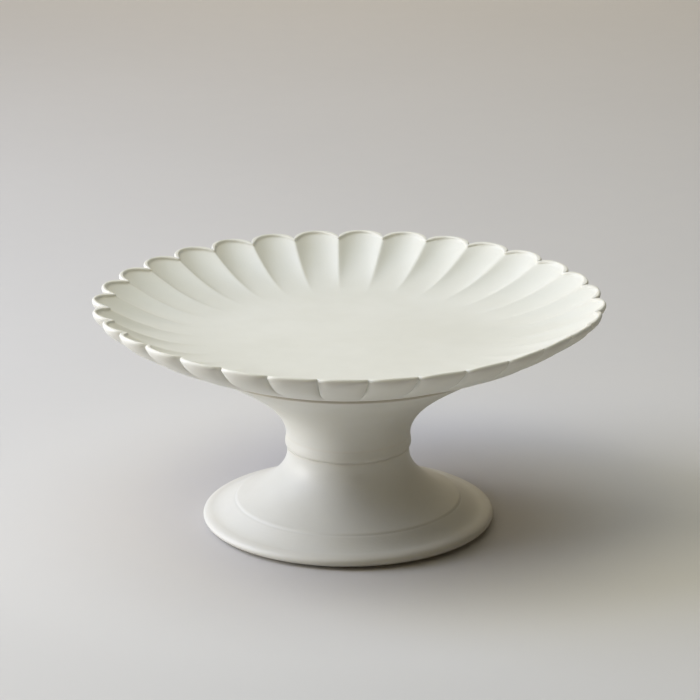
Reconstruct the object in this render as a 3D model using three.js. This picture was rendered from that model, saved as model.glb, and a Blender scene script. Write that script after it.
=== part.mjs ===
// A footed petal dish in glazed ceramic: a shallow fluted dish on a hollow pedestal.
// Millimetres, +Z up. The origin is on the table, under the middle of the foot ring.
//
// The pieces are the ones that a potter joins with slip before the firing: the dish, the neck and
// the foot, the luting slip between them, a coil that strengthens the upper joint from inside, and
// a bead that covers the seam at the waist. They are stacked in two groups, pedestal and dish.

import * as THREE from 'three';

// Heights of the stacked pieces, which add up to 93 from the table to the top of the lip.
const FOOT_HEIGHT = 31.7;
const NECK_HEIGHT = 38.6;
const DISH_HEIGHT = 21.5; // to the lip at the middle of a petal
const SLIP_THICKNESS = 0.6;

// The dish. Heights are above its own underside.
const PETALS = 32;
const FIRST_NOTCH = THREE.MathUtils.degToRad(3.4); // from -Y towards +X
const PETAL_ARC = THREE.MathUtils.degToRad(58); // half of the angle that a petal's round end spans
const RIM_NOTCH_RADIUS = 97; // outside, at the notch between two petals
const RIM_TIP_RADIUS = 101.8; // outside, at the middle of a petal
const NOTCH_DROP = 1.1; // how much lower the lip is at a notch than at the middle of a petal
const NOTCH_LIP_THICKNESS = 1.2;
const PETAL_LIP_THICKNESS = 1.6; // the lip is thicker at the middle of a petal
const LIP_ROUNDING = 1;
const FLOOR_RADIUS = 50;
const FLOOR_TOP = 7;
const SEAT_RADIUS = 63.2; // the underside is flat inside this radius, and rests on the pedestal
const RECESS_RADIUS = 45; // the underside is hollowed a little above the pedestal's hollow
const RECESS_DEPTH = 1.6;

// The pedestal. Heights are above each piece's own base.
const BORE_RADIUS = 18.8; // the hollow at the waist
const WAIST_RADIUS = 24.6;
const NECK_MOUTH_RADIUS = 53.6; // the hollow at the top of the neck
const BEAD_SEAT_RADIUS = 23.2; // the neck is turned down to this under the bead
const BEAD_HEIGHT = 4.7;
const BEAD_RADIUS = 25.5;
const NECK_RADIUS = 25; // just above the bead
const NECK_RIM_RADIUS = 60.6; // outside of the neck at its top, set back under the petals
const NECK_RIM_HEIGHT = 1.2; // of the upright edge there
const FOOT_RADIUS = 58.7; // the rounded edge, at its widest
const STEP_RADIUS = 44.6; // the flare of the foot ends in a low step here
const STEP_HEIGHT = 10.4;
const STEP_DROP = 1;
const FOOT_RING_OUTER = 53.6;
const FOOT_RING_INNER = 49;
const SEAM_DEPTH = 0.6; // how far the upper joint's slip stands back from the neck's upright edge
const COIL_SIZE = 4; // how far the joint coil reaches down the neck's inside

// How finely the round shapes are divided.
const ROUND_STEPS = 64; // around the pedestal
const PETAL_STEPS = 4; // around one petal
const WALL_STEPS = 7; // along the dish wall
const FLARE_STEPS = 8; // along a flaring wall of the pedestal
const SMALL_STEPS = 3; // along a small rounding
const LIP_STEPS = 2; // over the lip

// ---- Outlines, as lists of (radius, height) points ----

function point(radius, height) {
  return new THREE.Vector2(radius, height);
}

// A cubic curve from start to end, which leaves and arrives towards the two pull points.
function sweep(start, startPull, endPull, end, steps) {
  return new THREE.CubicBezierCurve(start, startPull, endPull, end).getPoints(steps);
}

// Joins stretches into one outline, and closes it on itself unless it begins on the axis.
function outline(...stretches) {
  const points = stretches.flat();
  const distinct = points.filter((p, i) => i === 0 || p.distanceTo(points[i - 1]) > 1e-6);
  return distinct[0].x === 0 ? distinct : [...distinct, distinct[0].clone()];
}

function round(points) {
  return new THREE.LatheGeometry(points, ROUND_STEPS);
}

// ---- The dish ----

// One radial section of the dish, from the axis along the underside, up the outside of the wall,
// over the lip and down the inside to the axis again.
function dishSection(outside, rimRadius, rimHeight, lipThickness, inside) {
  const lipBase = rimHeight - LIP_ROUNDING;
  const lip = new THREE.EllipseCurve(
    rimRadius - lipThickness / 2, lipBase, lipThickness / 2, LIP_ROUNDING, 0, Math.PI);
  return outline(
    point(0, RECESS_DEPTH),
    point(RECESS_RADIUS - RECESS_DEPTH, RECESS_DEPTH),
    point(RECESS_RADIUS, 0),
    sweep(point(SEAT_RADIUS, 0), ...outside, point(rimRadius, lipBase), WALL_STEPS),
    lip.getPoints(LIP_STEPS),
    sweep(
      point(rimRadius - lipThickness, lipBase), ...inside, point(FLOOR_RADIUS, FLOOR_TOP),
      WALL_STEPS),
    point(0, FLOOR_TOP),
  );
}

// Along a notch the wall follows the ridge between two flutes inside and the groove outside.
function notchSection() {
  return dishSection(
    [point(79.7, 8), point(84.5, 8.6)], RIM_NOTCH_RADIUS, DISH_HEIGHT - NOTCH_DROP,
    NOTCH_LIP_THICKNESS, [point(78, 9.7), point(65, FLOOR_TOP)]);
}

// Along the middle of a petal the wall is further out, both inside and outside.
function petalSection() {
  return dishSection(
    [point(75.8, 4.8), point(RIM_TIP_RADIUS, 13.3)], RIM_TIP_RADIUS, DISH_HEIGHT,
    PETAL_LIP_THICKNESS, [point(91, 12.6), point(73, FLOOR_TOP)]);
}

// Where a column of the dish's surface stands, and how far it is from a notch (0) towards the
// middle of a petal (1). The columns are equal steps around the round end of each petal.
function petalColumn(column) {
  const petal = Math.floor(column / PETAL_STEPS);
  const turn = PETAL_ARC * (2 * (column % PETAL_STEPS) / PETAL_STEPS - 1);
  const across = Math.sin(turn) / Math.sin(PETAL_ARC);
  const fullness = (Math.cos(turn) - Math.cos(PETAL_ARC)) / (1 - Math.cos(PETAL_ARC));
  const angle = FIRST_NOTCH + 2 * Math.PI * (petal + (1 + across) / 2) / PETALS;
  return { angle, fullness };
}

// A turned shape whose section changes from the notch section to the petal section and back.
function dishGeometry() {
  const notch = notchSection();
  const petal = petalSection();
  const columns = PETALS * PETAL_STEPS;
  const geometry = new THREE.LatheGeometry(notch, columns);
  const position = geometry.getAttribute('position');
  for (let column = 0; column <= columns; column++) {
    const { angle, fullness } = petalColumn(column);
    for (let row = 0; row < notch.length; row++) {
      const place = notch[row].clone().lerp(petal[row], fullness);
      const vertex = column * notch.length + row;
      position.setXYZ(vertex, place.x * Math.sin(angle), place.y, place.x * Math.cos(angle));
    }
  }
  geometry.computeVertexNormals();
  return geometry;
}

// A flat ring of slip that fills a joint.
function slipGeometry(innerRadius, outerRadius) {
  return round(outline(
    point(innerRadius, 0),
    point(outerRadius, 0),
    point(outerRadius, SLIP_THICKNESS),
    point(innerRadius, SLIP_THICKNESS),
  ));
}

// ---- The pedestal ----

// The inside of the neck, from its mouth down to the straight bore. The first stretch is straight,
// for the coil to lie against.
const NECK_MOUTH = point(NECK_MOUTH_RADIUS, NECK_HEIGHT);
const COIL_FOOT = point(NECK_MOUTH_RADIUS - 1.8 * COIL_SIZE, NECK_HEIGHT - COIL_SIZE);

function neckGeometry() {
  return round(outline(
    point(BORE_RADIUS, 0),
    point(BEAD_SEAT_RADIUS, 0),
    point(BEAD_SEAT_RADIUS, BEAD_HEIGHT - 0.3),
    sweep(
      point(NECK_RADIUS, BEAD_HEIGHT), point(NECK_RADIUS, 18), point(46, 28.4),
      point(NECK_RIM_RADIUS, NECK_HEIGHT - NECK_RIM_HEIGHT), FLARE_STEPS),
    point(NECK_RIM_RADIUS, NECK_HEIGHT),
    NECK_MOUTH,
    sweep(COIL_FOOT, point(32, 26.5), point(BORE_RADIUS, 17), point(BORE_RADIUS, 5), FLARE_STEPS),
  ));
}

// The coil fills the corner between the neck's inside and the dish's underside with a hollow
// fillet. It stands on the slip's level, so its own base is the neck's top.
function coilGeometry() {
  const wallFoot = point(COIL_FOOT.x, COIL_FOOT.y - NECK_HEIGHT);
  const mouth = point(NECK_MOUTH_RADIUS, 0);
  const underDish = point(NECK_MOUTH_RADIUS - 2.2 * COIL_SIZE, SLIP_THICKNESS);
  const hollow = point(NECK_MOUTH_RADIUS - 1.7 * COIL_SIZE, -0.2 * COIL_SIZE);
  return round(outline(
    wallFoot,
    mouth,
    point(NECK_MOUTH_RADIUS, SLIP_THICKNESS),
    sweep(underDish, hollow, hollow, wallFoot, SMALL_STEPS),
  ));
}

// The bead has a crisp lower edge over the seam, and runs out softly into the neck above it.
function beadGeometry() {
  return round(outline(
    point(BEAD_SEAT_RADIUS, 0),
    point(WAIST_RADIUS + 0.1, 0),
    sweep(
      point(BEAD_RADIUS - 0.3, 0.5), point(BEAD_RADIUS + 0.2, 1.4), point(NECK_RADIUS + 0.2, 2.8),
      point(NECK_RADIUS, BEAD_HEIGHT), SMALL_STEPS),
    point(BEAD_SEAT_RADIUS, BEAD_HEIGHT - 0.3),
  ));
}

// The foot spreads from the waist to a low step, and on over a sloping brim to a rounded edge. It
// tucks in under the edge to a flat foot ring.
function footGeometry() {
  const widest = point(FOOT_RADIUS, 3.2);
  const brimEnd = point(54.4, 5.5);
  const stepFoot = point(STEP_RADIUS + 1.5, STEP_HEIGHT - STEP_DROP);
  const stepTop = point(STEP_RADIUS, STEP_HEIGHT);
  return round(outline(
    point(FOOT_RING_INNER, 0),
    sweep(point(FOOT_RING_OUTER, 0), point(55.8, 0.8), point(FOOT_RADIUS, 1.5), widest, SMALL_STEPS),
    sweep(widest, point(FOOT_RADIUS, 4.6), point(57, 5.1), brimEnd, SMALL_STEPS),
    sweep(brimEnd, point(51.6, 6.1), point(48.6, 7.9), stepFoot, SMALL_STEPS),
    sweep(
      stepTop, point(36.8, 13.4), point(WAIST_RADIUS, 20.2), point(WAIST_RADIUS, 30.4),
      FLARE_STEPS),
    point(WAIST_RADIUS, FOOT_HEIGHT),
    point(BORE_RADIUS, FOOT_HEIGHT),
    sweep(
      point(BORE_RADIUS, 26), point(BORE_RADIUS, 17.5), point(33.5, 9.6), point(46.5, 3.2),
      FLARE_STEPS),
  ));
}

// ---- The scene ----

function glaze() {
  return new THREE.MeshStandardMaterial({ color: 0xe8e8e1, roughness: 0.55, metalness: 0 });
}

function clay() {
  return new THREE.MeshStandardMaterial({ color: 0xcfc6b4, roughness: 0.9, metalness: 0 });
}

// A turned geometry stands along Y, so it is turned to stand along Z, and set at its height.
function piece(name, geometry, material, height) {
  const mesh = new THREE.Mesh(geometry.rotateX(Math.PI / 2), material);
  mesh.name = name;
  mesh.position.z = height;
  return mesh;
}

const neckBase = FOOT_HEIGHT + SLIP_THICKNESS;
const neckTop = neckBase + NECK_HEIGHT;

const pedestal = new THREE.Group();
pedestal.add(
  piece('pedestal_foot', footGeometry(), glaze(), 0),
  piece('waist_joint_slip', slipGeometry(BORE_RADIUS, WAIST_RADIUS - 0.2), clay(), FOOT_HEIGHT),
  piece('pedestal_neck', neckGeometry(), glaze(), neckBase),
  piece('waist_bead', beadGeometry(), glaze(), neckBase),
);

const dish = new THREE.Group();
dish.position.z = neckTop;
dish.add(
  piece('dish_joint_slip', slipGeometry(NECK_MOUTH_RADIUS, NECK_RIM_RADIUS - SEAM_DEPTH), clay(), 0),
  piece('dish_joint_coil', coilGeometry(), clay(), 0),
  piece('petal_dish', dishGeometry(), glaze(), SLIP_THICKNESS),
);

const footedDish = new THREE.Group();
footedDish.add(pedestal, dish);

export default footedDish;
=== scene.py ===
"""The looks of a footed petal dish in matt glazed stoneware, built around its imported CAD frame.

Each CAD piece is replaced by a finely divided one on the same outline, with the slight unevenness of
hand work and a procedural glaze. Outlines are (radius, height) in millimetres, with heights above the
piece's own base, and everything that reaches Blender is in metres.
"""

import math

import bpy
import numpy as np
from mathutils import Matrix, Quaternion, Vector

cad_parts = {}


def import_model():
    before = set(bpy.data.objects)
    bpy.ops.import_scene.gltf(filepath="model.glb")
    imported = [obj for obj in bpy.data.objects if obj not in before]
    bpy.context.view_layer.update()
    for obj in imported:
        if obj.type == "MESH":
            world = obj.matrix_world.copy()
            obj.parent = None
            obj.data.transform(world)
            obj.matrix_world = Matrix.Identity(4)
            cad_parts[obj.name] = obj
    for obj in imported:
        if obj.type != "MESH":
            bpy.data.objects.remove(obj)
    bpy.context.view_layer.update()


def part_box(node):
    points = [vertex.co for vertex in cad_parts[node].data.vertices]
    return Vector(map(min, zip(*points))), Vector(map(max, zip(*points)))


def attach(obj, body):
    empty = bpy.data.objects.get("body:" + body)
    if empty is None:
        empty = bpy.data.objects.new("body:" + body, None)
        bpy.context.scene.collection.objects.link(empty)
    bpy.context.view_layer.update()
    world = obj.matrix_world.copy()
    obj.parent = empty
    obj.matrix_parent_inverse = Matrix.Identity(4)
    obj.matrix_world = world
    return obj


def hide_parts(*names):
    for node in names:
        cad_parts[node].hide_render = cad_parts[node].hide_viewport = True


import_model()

MM = 0.001

# ---- Where the CAD pieces stand, in metres, and their heights in millimetres ----


def base_of(node):
    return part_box(node)[0].z


def height_of(node):
    low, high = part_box(node)
    return (high.z - low.z) / MM


FOOT_HEIGHT = height_of("pedestal_foot")
SLIP_THICKNESS = height_of("waist_joint_slip")
NECK_BASE = base_of("pedestal_neck")
NECK_HEIGHT = height_of("pedestal_neck")
DISH_BASE = base_of("petal_dish")
DISH_HEIGHT = height_of("petal_dish")

# ---- Driving sizes of the pottery, in millimetres ----

PETALS = 32
FIRST_NOTCH = math.radians(3.4)  # from -Y towards +X
PETAL_ARC = math.radians(58)  # half of the angle that a petal's round end spans
RIM_NOTCH_RADIUS = 97
RIM_TIP_RADIUS = 101.8
NOTCH_DROP = 1.1  # how much lower the lip is at a notch than at the middle of a petal
NOTCH_LIP_THICKNESS = 1.2
PETAL_LIP_THICKNESS = 1.6
LIP_ROUNDING = 1
FLOOR_RADIUS = 50
FLOOR_TOP = 7
SEAT_RADIUS = 63.2
RECESS_RADIUS = 45
RECESS_DEPTH = 1.6

BORE_RADIUS = 18.8
NECK_BORE_HEIGHT = 5  # the bore through the neck is straight up to here
FOOT_BORE_HEIGHT = 26  # and the one through the foot is straight from here up
NECK_RADIUS = 25
NECK_MOUTH_RADIUS = 53.6
NECK_RIM_RADIUS = 60.6
NECK_RIM_HEIGHT = 1.2
BEAD_RADIUS = 25.5
BEAD_HEIGHT = 4.7
BEAD_SEAT_RADIUS = 23.2
BEAD_SEAT_HEIGHT = 4.4
WAIST_RADIUS = 24.6
WAIST_BOTTOM = 30.4  # the foot's outside is upright from here up
FOOT_RADIUS = 58.7
FOOT_WIDEST_HEIGHT = 3.2
BRIM_EDGE_END = (54.4, 5.5)  # where the brim's round edge meets its slope
STEP_RADIUS = 44.6
STEP_HEIGHT = 10.4
STEP_DROP = 1
STEP_RUN = 1.5
FOOT_RING_OUTER = 53.6
FOOT_RING_INNER = 49
FOOT_HOLLOW_EDGE = (46.5, 3.2)
DISH_SEAM_DEPTH = 0.6  # how far the upper slip stands back from the neck's upright edge
WAIST_SEAM_DEPTH = 0.2  # and the lower slip from the waist
SHADE_REACH = 0.5  # how far below the neck's upright edge the painted shade in the recess starts
COIL_SIZE = 4
COIL_FOOT = (NECK_MOUTH_RADIUS - 1.8 * COIL_SIZE, -COIL_SIZE)  # the height is below the neck's rim

# Hand work: the dish sits a little aside on its pedestal, and its petals are pressed off its middle.
DISH_SHIFT = 0.15
PATTERN_OFFSET = (1.6, -1.8)
PETAL_UNEVENNESS = 0.22  # the spread of the notches' and of the tips' radii
OVALNESS = 0.0025  # as a share of the radius
OVAL_TURN = 0.7  # in radians
RIM_LIFT = 1.8  # the rim has risen in the kiln at two places in front, one on each side
LIFT_ANGLE = math.radians(55)  # how far each place is from the front
LIFT_WIDTH = math.radians(24)
RIDGE_SOFTNESS = 0.24  # how much the glaze rounds off the ridges between flutes inside
GROOVE_SOFTNESS = 0.13  # and fills the grooves between petals outside
SHOULDER_SHAPE = 0.5  # below 1, the petals' outsides are flatter with rounder shoulders
NOTCH_REACH = 0.3  # how full a petal is where the glaze no longer runs off its ridge

# How finely the surfaces are divided.
ROUND_STEPS = 384
PETAL_STEPS = 32
WALL_STEPS = 30
FLARE_STEPS = 40
SMALL_STEPS = 10
TABLE_STEPS = 96
SHARP_FOLD = math.radians(50)  # a sharper fold is shaded as an edge

hand = np.random.default_rng(32)


# ---- Outlines ----


def sweep(start, start_pull, end_pull, end, steps):
    """Points along a cubic curve, which leaves and arrives towards the two pull points."""
    t = np.linspace(0, 1, steps + 1)[:, None]
    start, start_pull, end_pull, end = map(np.asarray, (start, start_pull, end_pull, end))
    return ((1 - t) ** 3 * start + 3 * (1 - t) ** 2 * t * start_pull
            + 3 * (1 - t) * t ** 2 * end_pull + t ** 3 * end)


def straight(start, end, steps):
    t = np.linspace(0, 1, steps + 1)[:, None]
    return (1 - t) * np.asarray(start) + t * np.asarray(end)


def outline(*stretches):
    """Joins stretches of points into one list, without the points that repeat."""
    points = np.vstack([np.atleast_2d(np.asarray(s, float)) for s in stretches])
    step = np.linalg.norm(np.roll(points, -1, axis=0) - points, axis=1)
    return points[step > 1e-6]


def around_axis(radius, angle, height):
    """Points round the axis. The angle starts at -Y and grows towards +X."""
    places = np.broadcast_arrays(radius * np.sin(angle), -radius * np.cos(angle), height)
    return np.stack(places, axis=-1)


# ---- Meshes ----


def settle(points):
    """The whole pot's unevenness: slightly oval, and shifted sideways, more so towards the dish."""
    x, y, z = points[:, 0], points[:, 1], points[:, 2]
    oval = 1 + OVALNESS * np.sin(2 * np.arctan2(y, x) + OVAL_TURN)
    rise = np.clip((z - NECK_BASE) / (DISH_BASE - NECK_BASE), 0, 1)
    shift = DISH_SHIFT * MM * rise ** 2 * (3 - 2 * rise)
    return np.stack([x * oval + shift, y * oval, z], axis=1)


def grid_faces(rows, columns, rows_close):
    """Quads between neighbouring rows and columns. The columns always close round the axis."""
    low = np.arange(rows if rows_close else rows - 1)[:, None]
    column = np.arange(columns)[None, :]
    high = (low + 1) % rows
    beside = (column + 1) % columns
    corners = [
        low * columns + column, low * columns + beside,
        high * columns + beside, high * columns + column]
    return np.stack(corners, axis=-1).reshape(-1, 4).tolist()


def pole_faces(pole, ring_start, columns, upward):
    """Triangles from a point on the axis to the ring of vertices that starts at ring_start."""
    here = ring_start + np.arange(columns)
    beside = np.roll(here, -1)
    ring_edge = [here, beside] if upward else [beside, here]
    return np.stack([np.full(columns, pole), *ring_edge], axis=-1).tolist()


def smooth_mesh(name, points, faces, material):
    """A mesh that is shaded smoothly all over. The points are in metres."""
    mesh = bpy.data.meshes.new(name)
    mesh.from_pydata(points.tolist(), [], faces)
    mesh.shade_smooth()
    mesh.materials.append(material)
    return mesh


def in_scene(name, data):
    """A new object of the mesh, light or camera, linked into the scene."""
    made = bpy.data.objects.new(name, data)
    bpy.context.scene.collection.objects.link(made)
    return made


def mesh_piece(name, points, faces, marks, material):
    """A piece of the pot. marks are float attributes, one value to a vertex, for its material."""
    mesh = smooth_mesh(name, settle(points), faces, material)
    for mark, values in marks.items():
        attribute = mesh.attributes.new(mark, "FLOAT", "POINT")
        attribute.data.foreach_set("value", np.asarray(values, np.float32).ravel())
    mesh.set_sharp_from_angle(angle=SHARP_FOLD)
    return in_scene(name, mesh)


def stand_for(made, node):
    """Puts a piece in the place of its CAD node."""
    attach(made, "root")
    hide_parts(node)


def outline_marks(points):
    """For a closed anticlockwise outline: where it turns outwards sharply, where it turns inwards,
    and where it faces the axis, each from 0 to 1."""
    before = points - np.roll(points, 1, axis=0)
    after = np.roll(points, -1, axis=0) - points
    size = np.linalg.norm(before, axis=1) + np.linalg.norm(after, axis=1)
    # The sine of the turn, which counts less where one step is much shorter than the other. Glaze
    # pools in a corner that is four times gentler than the edge from which it runs off.
    turn = 4 * (before[:, 0] * after[:, 1] - before[:, 1] * after[:, 0]) / size ** 2
    upward = (before[:, 1] + after[:, 1]) / size
    return {
        "thin": np.clip(turn, 0, 1),
        "pool": np.clip(-4 * turn, 0, 1),
        "hollow": np.clip(-4 * upward, 0, 1),
    }


def turned_piece(name, points, base, material, **more_marks):
    """A ring turned from a closed outline that runs anticlockwise. Each further mark gives one value
    to a point of the outline."""
    angle = np.linspace(0, 2 * math.pi, ROUND_STEPS, endpoint=False)
    rings = around_axis(points[:, 0, None] * MM, angle, points[:, 1, None] * MM + base)
    faces = grid_faces(len(points), ROUND_STEPS, rows_close=True)
    marks = outline_marks(points) | more_marks
    marks = {mark: np.repeat(values, ROUND_STEPS) for mark, values in marks.items()}
    return mesh_piece(name, rings.reshape(-1, 3), faces, marks, material)


# ---- The dish ----


def dish_section(outside_pulls, rim_radius, rim_height, lip_thickness, inside_pulls):
    """From the middle of the underside, up the outside, over the lip and down inside to the middle."""
    lip_base = rim_height - LIP_ROUNDING
    turn = np.linspace(0, math.pi, 2 * SMALL_STEPS + 1)
    lip_radius = rim_radius - lip_thickness / 2 * (1 - np.cos(turn))
    lip = np.stack([lip_radius, lip_base + LIP_ROUNDING * np.sin(turn)], axis=1)
    return outline(
        straight((0, RECESS_DEPTH), (RECESS_RADIUS - RECESS_DEPTH, RECESS_DEPTH), 4),
        straight((RECESS_RADIUS, 0), (SEAT_RADIUS, 0), 4),
        sweep((SEAT_RADIUS, 0), *outside_pulls, (rim_radius, lip_base), WALL_STEPS),
        lip,
        sweep((rim_radius - lip_thickness, lip_base), *inside_pulls, (FLOOR_RADIUS, FLOOR_TOP),
              WALL_STEPS),
        straight((FLOOR_RADIUS, FLOOR_TOP), (0, FLOOR_TOP), 8),
    )


def notch_section():
    """The dish's section through a notch, where its rim is lowest and nearest to the axis."""
    return dish_section(
        [(79.7, 8), (84.5, 8.6)], RIM_NOTCH_RADIUS, DISH_HEIGHT - NOTCH_DROP,
        NOTCH_LIP_THICKNESS, [(78, 9.7), (65, FLOOR_TOP)])


def petal_section():
    """And through the middle of a petal, where its rim is highest and furthest out."""
    return dish_section(
        [(75.8, 4.8), (RIM_TIP_RADIUS, 13.3)], RIM_TIP_RADIUS, DISH_HEIGHT,
        PETAL_LIP_THICKNESS, [(91, 12.6), (73, FLOOR_TOP)])


def petal_columns():
    """The angle of each column of the dish's surface, and how full its petal is there, from 0 at a
    notch to 1 at the petal's middle. The columns are equal steps round the end of each petal."""
    turn = PETAL_ARC * (2 * np.arange(PETAL_STEPS) / PETAL_STEPS - 1)
    across = np.sin(turn) / math.sin(PETAL_ARC)
    fullness = (np.cos(turn) - math.cos(PETAL_ARC)) / (1 - math.cos(PETAL_ARC))
    petal = np.arange(PETALS)[:, None]
    angle = FIRST_NOTCH + 2 * math.pi * (petal + (1 + across) / 2) / PETALS
    return angle.ravel(), np.tile(fullness, PETALS)


def softened(fullness, softness):
    """The same fullness with a rounded corner at the notch, where it is 0."""
    return (np.hypot(fullness, softness * (1 - fullness)) - softness) / (1 - softness)


def blended_sections(notch, petal, fullness, inside):
    """The radius and height of every row of points at every column of the dish's surface."""
    share = np.where(inside, softened(fullness, RIDGE_SOFTNESS),
                     softened(fullness ** SHOULDER_SHAPE, GROOVE_SOFTNESS))
    places = notch[:, None] + share[..., None] * (petal - notch)[:, None]
    return places[..., 0], places[..., 1]


def uneven_petals():
    """How far each column's wall stands out from the even shape, in millimetres at the rim."""
    notch = hand.normal(0, PETAL_UNEVENNESS, PETALS)
    tip = hand.normal(0, PETAL_UNEVENNESS, PETALS)
    share = np.arange(PETAL_STEPS) / PETAL_STEPS
    between = notch[:, None] * (1 - share) + np.roll(notch, -1)[:, None] * share
    bulge = (tip - (notch + np.roll(notch, -1)) / 2)[:, None] * np.sin(math.pi * share) ** 2
    return (between + bulge).ravel()


def kiln_lift(angle):
    """How far the rim has risen at each angle, in millimetres."""
    from_front = np.abs(np.arctan2(np.sin(angle), np.cos(angle)))
    return RIM_LIFT * np.exp(-((from_front - LIFT_ANGLE) / LIFT_WIDTH) ** 2)


def worked_by_hand(radius, height, angle, fullness, on_wall):
    """The even dish's places, moved by uneven petals, the pattern's offset and the kiln. on_wall is 0
    from the floor to the foot of the wall, and 1 at the rim."""
    along, across = PATTERN_OFFSET
    outwards = along * np.sin(angle) - across * np.cos(angle)
    sideways = along * np.cos(angle) + across * np.sin(angle)
    moved_radius = radius + on_wall * (uneven_petals() + (1 - fullness) * outwards)
    moved_height = height + on_wall ** 2 * kiln_lift(angle)
    return moved_radius, moved_height, angle + on_wall * sideways / RIM_NOTCH_RADIUS


def dish_marks(radius, fullness, on_wall, inside, rows_to_lip):
    """The glaze is thin on the lip and on the ridges inside, pools in the grooves outside, and is a
    wash in the hollow under the dish."""
    lip = np.exp(-(rows_to_lip / SMALL_STEPS) ** 2)
    near_notch = np.clip(1 - fullness / NOTCH_REACH, 0, 1) ** 2 * on_wall
    return {
        "thin": np.maximum(lip, np.where(inside, near_notch, 0)),
        "pool": np.where(inside, 0, near_notch),
        "hollow": np.where(radius < NECK_MOUTH_RADIUS, 1 - inside, 0),
    }


def dish_faces(rows, columns):
    """A grid between two poles, the last two points: the one underneath, then the floor's."""
    underneath = rows * columns
    last_ring = (rows - 1) * columns
    faces = grid_faces(rows, columns, rows_close=False)
    faces += pole_faces(underneath, 0, columns, upward=False)
    faces += pole_faces(underneath + 1, last_ring, columns, upward=True)
    return faces


def dish_piece(material):
    notch = notch_section()
    rows_to_lip = np.arange(len(notch))[:, None] - np.argmax(notch[:, 1])
    inside = rows_to_lip > 0
    even_angle, fullness = petal_columns()
    even_radius, even_height = blended_sections(notch, petal_section(), fullness, inside)
    on_wall = np.clip((even_radius - SEAT_RADIUS) / (RIM_NOTCH_RADIUS - SEAT_RADIUS), 0, 1)
    radius, height, angle = worked_by_hand(even_radius, even_height, even_angle, fullness, on_wall)
    points = around_axis(radius * MM, angle, height * MM + DISH_BASE)

    # The first and the last row lie on the axis, where one point of each is enough.
    grid = points[1:-1]
    poles = points[[0, -1], 0]
    marks = dish_marks(
        radius[1:-1], fullness, on_wall[1:-1], inside[1:-1], rows_to_lip[1:-1])
    marks = {mark: np.append(values.ravel(), [0, 0]) for mark, values in marks.items()}
    points = np.vstack([grid.reshape(-1, 3), poles])
    return mesh_piece("dish_with_petals", points, dish_faces(*grid.shape[:2]), marks, material)


# ---- The pedestal and its joints ----


def neck_piece(material):
    rim_foot = (NECK_RIM_RADIUS, NECK_HEIGHT - NECK_RIM_HEIGHT)
    rim = (NECK_RIM_RADIUS, NECK_HEIGHT)
    mouth = (NECK_MOUTH_RADIUS, NECK_HEIGHT)
    coil_foot = (COIL_FOOT[0], NECK_HEIGHT + COIL_FOOT[1])
    points = outline(
        straight((BORE_RADIUS, 0), (BEAD_SEAT_RADIUS, 0), 3),
        straight((BEAD_SEAT_RADIUS, 0), (BEAD_SEAT_RADIUS, BEAD_SEAT_HEIGHT), 3),
        sweep((NECK_RADIUS, BEAD_HEIGHT), (NECK_RADIUS, 18), (46, 28.4), rim_foot, FLARE_STEPS),
        straight(rim_foot, rim, 3),
        straight(rim, mouth, 3),
        straight(mouth, coil_foot, 3),
        sweep(coil_foot, (32, 26.5), (BORE_RADIUS, 17), (BORE_RADIUS, NECK_BORE_HEIGHT),
              FLARE_STEPS),
    )
    radius, height = points.T
    # Painted shade: the neck's upright edge and top, in the dark recess under the petals, are darkened
    # in colour.
    painted_shade = np.clip(height - rim_foot[1] + SHADE_REACH, 0, 1)
    in_recess = np.where(radius > NECK_MOUTH_RADIUS, painted_shade, 0)
    return turned_piece("neck_trumpet", points, NECK_BASE, material, crevice=in_recess)


def bead_piece(material):
    points = outline(
        (BEAD_SEAT_RADIUS, 0),
        straight((BEAD_SEAT_RADIUS, 0), (WAIST_RADIUS + 0.1, 0), 2),
        sweep((BEAD_RADIUS - 0.3, 0.5), (BEAD_RADIUS + 0.2, 1.4), (NECK_RADIUS + 0.2, 2.8),
              (NECK_RADIUS, BEAD_HEIGHT), SMALL_STEPS),
        (BEAD_SEAT_RADIUS, BEAD_SEAT_HEIGHT),
    )
    return turned_piece("waist_ring", points, NECK_BASE, material)


def foot_piece(material):
    widest = (FOOT_RADIUS, FOOT_WIDEST_HEIGHT)
    step_foot = (STEP_RADIUS + STEP_RUN, STEP_HEIGHT - STEP_DROP)
    step_top = (STEP_RADIUS, STEP_HEIGHT)
    points = outline(
        straight((FOOT_RING_INNER, 0), (FOOT_RING_OUTER, 0), 4),
        sweep((FOOT_RING_OUTER, 0), (55.8, 0.8), (FOOT_RADIUS, 1.5), widest, SMALL_STEPS),
        sweep(widest, (FOOT_RADIUS, 4.6), (57, 5.1), BRIM_EDGE_END, SMALL_STEPS),
        sweep(BRIM_EDGE_END, (51.6, 6.1), (48.6, 7.9), step_foot, SMALL_STEPS),
        sweep(step_foot, (STEP_RADIUS + 0.6 * STEP_RUN, STEP_HEIGHT - 0.8 * STEP_DROP),
              (STEP_RADIUS + 0.7, STEP_HEIGHT - 0.3 * STEP_DROP), step_top, SMALL_STEPS),
        sweep(step_top, (36.8, 13.4), (WAIST_RADIUS, 20.2), (WAIST_RADIUS, WAIST_BOTTOM),
              FLARE_STEPS),
        straight((WAIST_RADIUS, FOOT_HEIGHT), (BORE_RADIUS, FOOT_HEIGHT), 3),
        sweep((BORE_RADIUS, FOOT_BORE_HEIGHT), (BORE_RADIUS, 17.5), (33.5, 9.6), FOOT_HOLLOW_EDGE,
              FLARE_STEPS),
    )
    return turned_piece("spreading_foot", points, 0, material)


def slip_piece(name, node, inner_radius, outer_radius, material):
    points = outline(
        straight((inner_radius, 0), (outer_radius, 0), 2),
        straight((outer_radius, 0), (outer_radius, SLIP_THICKNESS), 2),
        straight((outer_radius, SLIP_THICKNESS), (inner_radius, SLIP_THICKNESS), 2),
    )
    return turned_piece(name, points, base_of(node), material)


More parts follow.
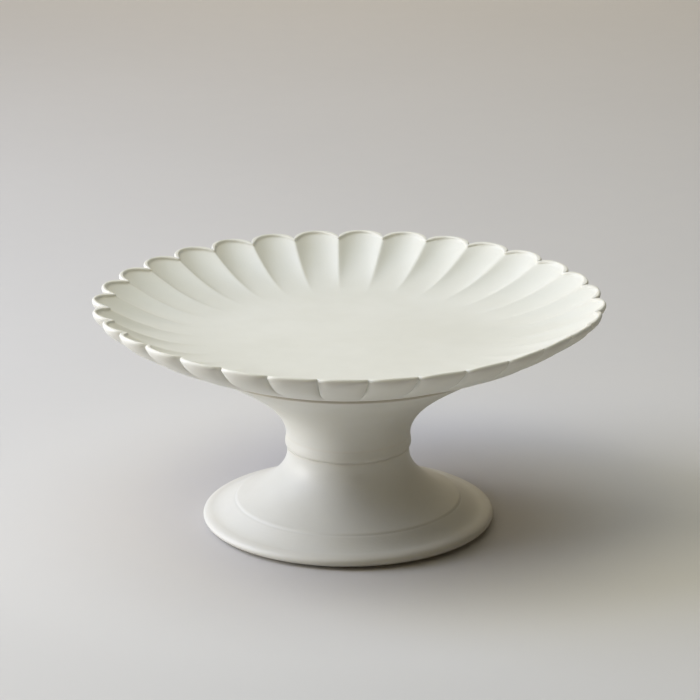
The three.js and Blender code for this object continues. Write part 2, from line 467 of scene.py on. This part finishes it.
def coil_piece(material):
    mouth = (NECK_MOUTH_RADIUS, 0)
    under_dish = (NECK_MOUTH_RADIUS - 2.2 * COIL_SIZE, SLIP_THICKNESS)
    hollow = (NECK_MOUTH_RADIUS - 1.7 * COIL_SIZE, -0.2 * COIL_SIZE)
    points = outline(
        straight(COIL_FOOT, mouth, 3),
        straight(mouth, (NECK_MOUTH_RADIUS, SLIP_THICKNESS), 2),
        sweep(under_dish, hollow, hollow, COIL_FOOT, SMALL_STEPS),
    )
    return turned_piece("joint_fillet", points, NECK_BASE + NECK_HEIGHT * MM, material)


# ---- Nodes for the materials ----


def add(tree, kind, inputs=(), **properties):
    """A node with its properties and inputs. An input is a value, or the output that feeds it."""
    made = tree.nodes.new(kind)
    for key, value in properties.items():
        setattr(made, key, value)
    for key, value in dict(inputs).items():
        if isinstance(value, bpy.types.NodeSocket):
            tree.links.new(value, made.inputs[key])
        else:
            made.inputs[key].default_value = value
    return made


def object_place(tree):
    return add(tree, "ShaderNodeTexCoord").outputs["Object"]


def noise(tree, place, scale, detail=3):
    made = add(tree, "ShaderNodeTexNoise", {"Vector": place, "Scale": scale, "Detail": detail})
    return made.outputs["Fac"]


def ranged(tree, value, low, high, to_low=0, to_high=1):
    """The value, moved from the range low to high into the range to_low to to_high, and kept in it."""
    made = add(tree, "ShaderNodeMapRange", {
        "Value": value, "From Min": low, "From Max": high, "To Min": to_low, "To Max": to_high})
    return made.outputs["Result"]


def mixed(tree, amount, first, second):
    made = add(tree, "ShaderNodeMixRGB", {"Fac": amount, "Color1": first, "Color2": second})
    return made.outputs["Color"]


def calculated(tree, operation, first, second):
    return add(tree, "ShaderNodeMath", {0: first, 1: second}, operation=operation).outputs["Value"]


def total(tree, *terms):
    """The sum of (value, weight) terms."""
    result = 0
    for value, weight in terms:
        result = calculated(tree, "ADD", calculated(tree, "MULTIPLY", value, weight), result)
    return result


def marked(tree, name):
    """The value of a mark on the mesh, which is 0 everywhere on a piece without that mark."""
    return add(tree, "ShaderNodeAttribute", attribute_name=name).outputs["Fac"]


def spots(tree, place, spacing, size, share):
    """Round spots of a size, in a share of the cells of an irregular lattice, as 0 to 1."""
    scale = 1 / spacing
    cells = add(tree, "ShaderNodeTexVoronoi", {"Vector": place, "Scale": scale})
    near = ranged(tree, cells.outputs["Distance"], size / 2 * scale, 0)
    colour = add(tree, "ShaderNodeSeparateColor", {"Color": cells.outputs["Color"]})
    chosen = calculated(tree, "GREATER_THAN", colour.outputs["Red"], 1 - share)
    return calculated(tree, "MULTIPLY", near, chosen)


def new_material(name):
    material = bpy.data.materials.new(name)
    material.use_nodes = True
    tree = material.node_tree
    tree.nodes.clear()
    shader = add(tree, "ShaderNodeBsdfPrincipled")
    output = add(tree, "ShaderNodeOutputMaterial")
    tree.links.new(shader.outputs["BSDF"], output.inputs["Surface"])
    return material, tree, shader


def connect(tree, shader, colour, roughness, height):
    """Feeds the shader. The height is in metres above the smooth surface."""
    bump = add(tree, "ShaderNodeBump", {"Height": height, "Strength": 1, "Distance": 1})
    tree.links.new(colour, shader.inputs["Base Color"])
    tree.links.new(roughness, shader.inputs["Roughness"])
    tree.links.new(bump.outputs["Normal"], shader.inputs["Normal"])


# ---- Materials ----

GLAZE = (0.76, 0.75, 0.68, 1)
GLAZE_CLOUD = (0.735, 0.722, 0.645, 1)
THIN_GLAZE = (0.75, 0.715, 0.625, 1)  # where it has run off an edge and the clay shows through
POOLED_GLAZE = (0.77, 0.77, 0.715, 1)
HOLLOW_GLAZE = (0.74, 0.70, 0.60, 1)  # a thin wash of glaze inside the pedestal
PAINTED_RECESS_SHADE = (0.47, 0.42, 0.33, 1)  # painted shade: a dark colour in the recess under the petals, where the dish's overhang shades the neck
IRON_SPECK = (0.36, 0.27, 0.17, 1)
BARE_CLAY = (0.62, 0.50, 0.36, 1)
TABLE_PAINT = (0.645, 0.625, 0.60, 1)
TABLE_CLOUD = (0.625, 0.605, 0.58, 1)
WALL_PAINT = (0.60, 0.49, 0.32, 1)

THROWING_RING_DEPTH = 0.05 * MM
WIPED_FROM = 0.85 * MM  # the glaze thins out between these two heights above the table
WIPED_TO = 0.65 * MM
WARMER_FROM = 1.3  # how far from the stand the table's colour starts to turn into the walls'
WARMER_TO = 2.3


def glaze_colour(tree, place, clouds, specks):
    colour = mixed(tree, clouds, GLAZE, GLAZE_CLOUD)
    patchy = ranged(tree, noise(tree, place, 260), 0.35, 0.75, 0.3, 1)
    thin = calculated(tree, "MULTIPLY", marked(tree, "thin"), patchy)
    colour = mixed(tree, calculated(tree, "MULTIPLY", thin, 0.8), colour, THIN_GLAZE)
    colour = mixed(tree, marked(tree, "pool"), colour, POOLED_GLAZE)
    colour = mixed(tree, marked(tree, "hollow"), colour, HOLLOW_GLAZE)
    # Painted shade darkens the recess under the petals.
    colour = mixed(tree, marked(tree, "crevice"), colour, PAINTED_RECESS_SHADE)
    return mixed(tree, calculated(tree, "MULTIPLY", specks, 0.5), colour, IRON_SPECK)


def glaze_roughness(tree, place, clouds):
    """Patchy, rougher where the glaze is thin and smoother where it pools."""
    patches = ranged(tree, noise(tree, place, 140), 0.3, 0.7, 0.42, 0.52)
    return total(
        tree, (patches, 1), (clouds, 0.05), (marked(tree, "thin"), 0.06),
        (marked(tree, "pool"), -0.1), (marked(tree, "hollow"), 0.15))


def glaze_height(tree, place, pinholes):
    """Slow unevenness from the hand, an eggshell grain and pinholes."""
    return total(
        tree, (noise(tree, place, 55, 2), 0.22 * MM), (noise(tree, place, 900), 0.03 * MM),
        (pinholes, -0.06 * MM))


def throwing_rings(tree, place):
    """Faint ridges that run round the pot, as 0 to 1."""
    flattened = add(tree, "ShaderNodeMapping", {"Vector": place, "Scale": (12, 12, 420)})
    return noise(tree, flattened.outputs["Vector"], 1, 2)


def matt_glaze(name, ring_depth=0):
    """Matt off-white glaze with faint clouds, a few specks and an eggshell surface."""
    material, tree, shader = new_material(name)
    place = object_place(tree)
    clouds = ranged(tree, noise(tree, place, 34, 4), 0.35, 0.65)
    specks = spots(tree, place, spacing=5 * MM, size=0.5 * MM, share=0.12)
    pinholes = spots(tree, place, spacing=3 * MM, size=0.35 * MM, share=0.1)
    colour = glaze_colour(tree, place, clouds, specks)
    roughness = glaze_roughness(tree, place, clouds)
    height = total(
        tree, (glaze_height(tree, place, pinholes), 1), (throwing_rings(tree, place), ring_depth))
    connect(tree, shader, colour, roughness, height)
    return material


def wiped_glaze(name, ring_depth):
    """The same glaze, wiped off the foot ring that stands on the table. Its edge wavers."""
    material = matt_glaze(name, ring_depth)
    tree = material.node_tree
    shader = tree.nodes["Principled BSDF"]
    place = object_place(tree)
    height = add(tree, "ShaderNodeSeparateXYZ", {"Vector": place}).outputs["Z"]
    wavering_height = total(tree, (noise(tree, place, 180), 0.8 * MM), (height, 1))
    bare = ranged(tree, wavering_height, WIPED_FROM, WIPED_TO)
    grit = ranged(tree, noise(tree, place, 1500), 0.3, 0.7, 0.85, 1.1)
    clay = add(tree, "ShaderNodeVectorMath", {0: BARE_CLAY[:3], "Scale": grit}, operation="SCALE")
    glazed = shader.inputs["Base Color"].links[0].from_socket
    smooth = shader.inputs["Roughness"].links[0].from_socket
    tree.links.new(mixed(tree, bare, glazed, clay.outputs["Vector"]), shader.inputs["Base Color"])
    tree.links.new(total(tree, (smooth, 1), (bare, 0.3)), shader.inputs["Roughness"])
    return material


def room_paint():
    """Pale matt paint with a fine grain: faintly clouded on the table, and warmer on the far walls."""
    material, tree, shader = new_material("room_paint")
    place = object_place(tree)
    clouds = ranged(tree, noise(tree, place, 3, 2), 0.3, 0.7)
    table_colour = mixed(tree, clouds, TABLE_PAINT, TABLE_CLOUD)
    distance = add(tree, "ShaderNodeVectorMath", {0: place}, operation="LENGTH").outputs["Value"]
    far = ranged(tree, distance, WARMER_FROM, WARMER_TO)
    colour = mixed(tree, far, table_colour, WALL_PAINT)
    roughness = ranged(tree, noise(tree, place, 60), 0.3, 0.7, 0.75, 0.85)
    connect(tree, shader, colour, roughness, total(tree, (noise(tree, place, 700), 0.02 * MM)))
    return material


# ---- The studio, in metres ----

CAMERA_PLACE = (0, -1.2763, 0.485)
CAMERA_TARGET = (0.00077, 0, 0.0718)
CAMERA_ROLL = math.radians(-0.08)
CAMERA_LENS = 172.4  # in millimetres, like the sensor's width
SENSOR_WIDTH = 36
LIGHT_DISTANCE = 1.3
LIGHT_TARGET = (0, 0, 0.05)
TABLE_EDGE = (1.6, 0)  # where the flat table starts to curve up
WALL_FOOT = (2.8, 1.2)
WALL_TOP = (2.8, 2)


def aim(made, target, roll=0.0):
    made.rotation_mode = "QUATERNION"
    facing = (Vector(target) - made.location).to_track_quat("-Z", "Y")
    made.rotation_quaternion = facing @ Quaternion((0, 0, 1), roll)


def camera():
    """At the photograph's viewing angle: it looks down at 18 degrees, from 1.3 metres away."""
    data = bpy.data.cameras.new("camera")
    data.lens = CAMERA_LENS
    data.sensor_width = SENSOR_WIDTH
    made = in_scene("camera", data)
    made.location = CAMERA_PLACE
    aim(made, CAMERA_TARGET, CAMERA_ROLL)
    bpy.context.scene.camera = made


def area_light(name, azimuth, elevation, size, power, colour):
    """A soft light over the table, itself out of sight. Azimuth 0 is in front, and 90 to the left."""
    data = bpy.data.lights.new(name, "AREA")
    data.shape = "DISK"
    data.size = size
    data.energy = power
    data.color = colour
    made = in_scene(name, data)
    made.visible_camera = False
    around, above = math.radians(azimuth), math.radians(elevation)
    made.location = LIGHT_DISTANCE * Vector((
        -math.sin(around) * math.cos(above), -math.cos(around) * math.cos(above), math.sin(above)))
    aim(made, LIGHT_TARGET)


def table(material):
    """A pale table that curves up into a wall far away on every side."""
    profile = outline(
        straight((0, 0), TABLE_EDGE, 8),
        sweep(TABLE_EDGE, (2.4, 0), (2.8, 0.4), WALL_FOOT, 16),
        straight(WALL_FOOT, WALL_TOP, 2),
    )
    middle, rings = profile[:1], profile[1:]
    angle = np.linspace(0, 2 * math.pi, TABLE_STEPS, endpoint=False)
    grid = around_axis(rings[:, 0, None], angle, rings[:, 1, None])
    points = np.vstack([grid.reshape(-1, 3), around_axis(middle[:, 0], 0, middle[:, 1])])
    faces = grid_faces(len(rings), TABLE_STEPS, rows_close=False)
    faces += pole_faces(len(points) - 1, 0, TABLE_STEPS, upward=False)
    mesh = smooth_mesh("table", points, faces, material)
    mesh.flip_normals()
    in_scene("table", mesh)


def world(colour, strength):
    made = bpy.data.worlds.new("room")
    made.use_nodes = True
    background = made.node_tree.nodes["Background"]
    background.inputs["Color"].default_value = (*colour, 1)
    background.inputs["Strength"].default_value = strength
    bpy.context.scene.world = made


def studio():
    """Daylight from windows at the left, with weaker light from the ceiling and from behind."""
    camera()
    table(room_paint())
    world((1.0, 0.93, 0.85), 0.02)
    area_light("window_low", 91, 9, 0.6, 11.5, (0.95, 0.95, 0.96))
    area_light("window_high", 95, 42, 0.9, 11.4, (0.61, 0.70, 1.0))
    area_light("window_front", 60, 60, 0.9, 4.1, (0.95, 0.81, 0.36))
    area_light("ceiling", 0, 88, 1.3, 7.4, (0.90, 0.98, 1.0))
    area_light("behind", 180, 25, 1.2, 2.8, (1.0, 0.87, 0.65))
    bpy.context.scene.view_settings.view_transform = "Standard"


# ---- The stand ----


def cake_stand():
    """Every piece of the stand, with one glaze for the dish, one for each part of the pedestal and one
    for the joints."""
    dish_glaze = matt_glaze("dish_glaze")
    pedestal_glaze = matt_glaze("pedestal_glaze", THROWING_RING_DEPTH)
    seam_glaze = matt_glaze("seam_glaze")
    foot_glaze = wiped_glaze("foot_glaze", THROWING_RING_DEPTH)
    stand_for(dish_piece(dish_glaze), "petal_dish")
    stand_for(neck_piece(pedestal_glaze), "pedestal_neck")
    stand_for(bead_piece(pedestal_glaze), "waist_bead")
    stand_for(foot_piece(foot_glaze), "pedestal_foot")
    dish_seam = slip_piece(
        "dish_seam", "dish_joint_slip", NECK_MOUTH_RADIUS, NECK_RIM_RADIUS - DISH_SEAM_DEPTH,
        seam_glaze)
    waist_seam = slip_piece(
        "waist_seam", "waist_joint_slip", BORE_RADIUS, WAIST_RADIUS - WAIST_SEAM_DEPTH, seam_glaze)
    stand_for(dish_seam, "dish_joint_slip")
    stand_for(waist_seam, "waist_joint_slip")
    stand_for(coil_piece(seam_glaze), "dish_joint_coil")


studio()
cake_stand()
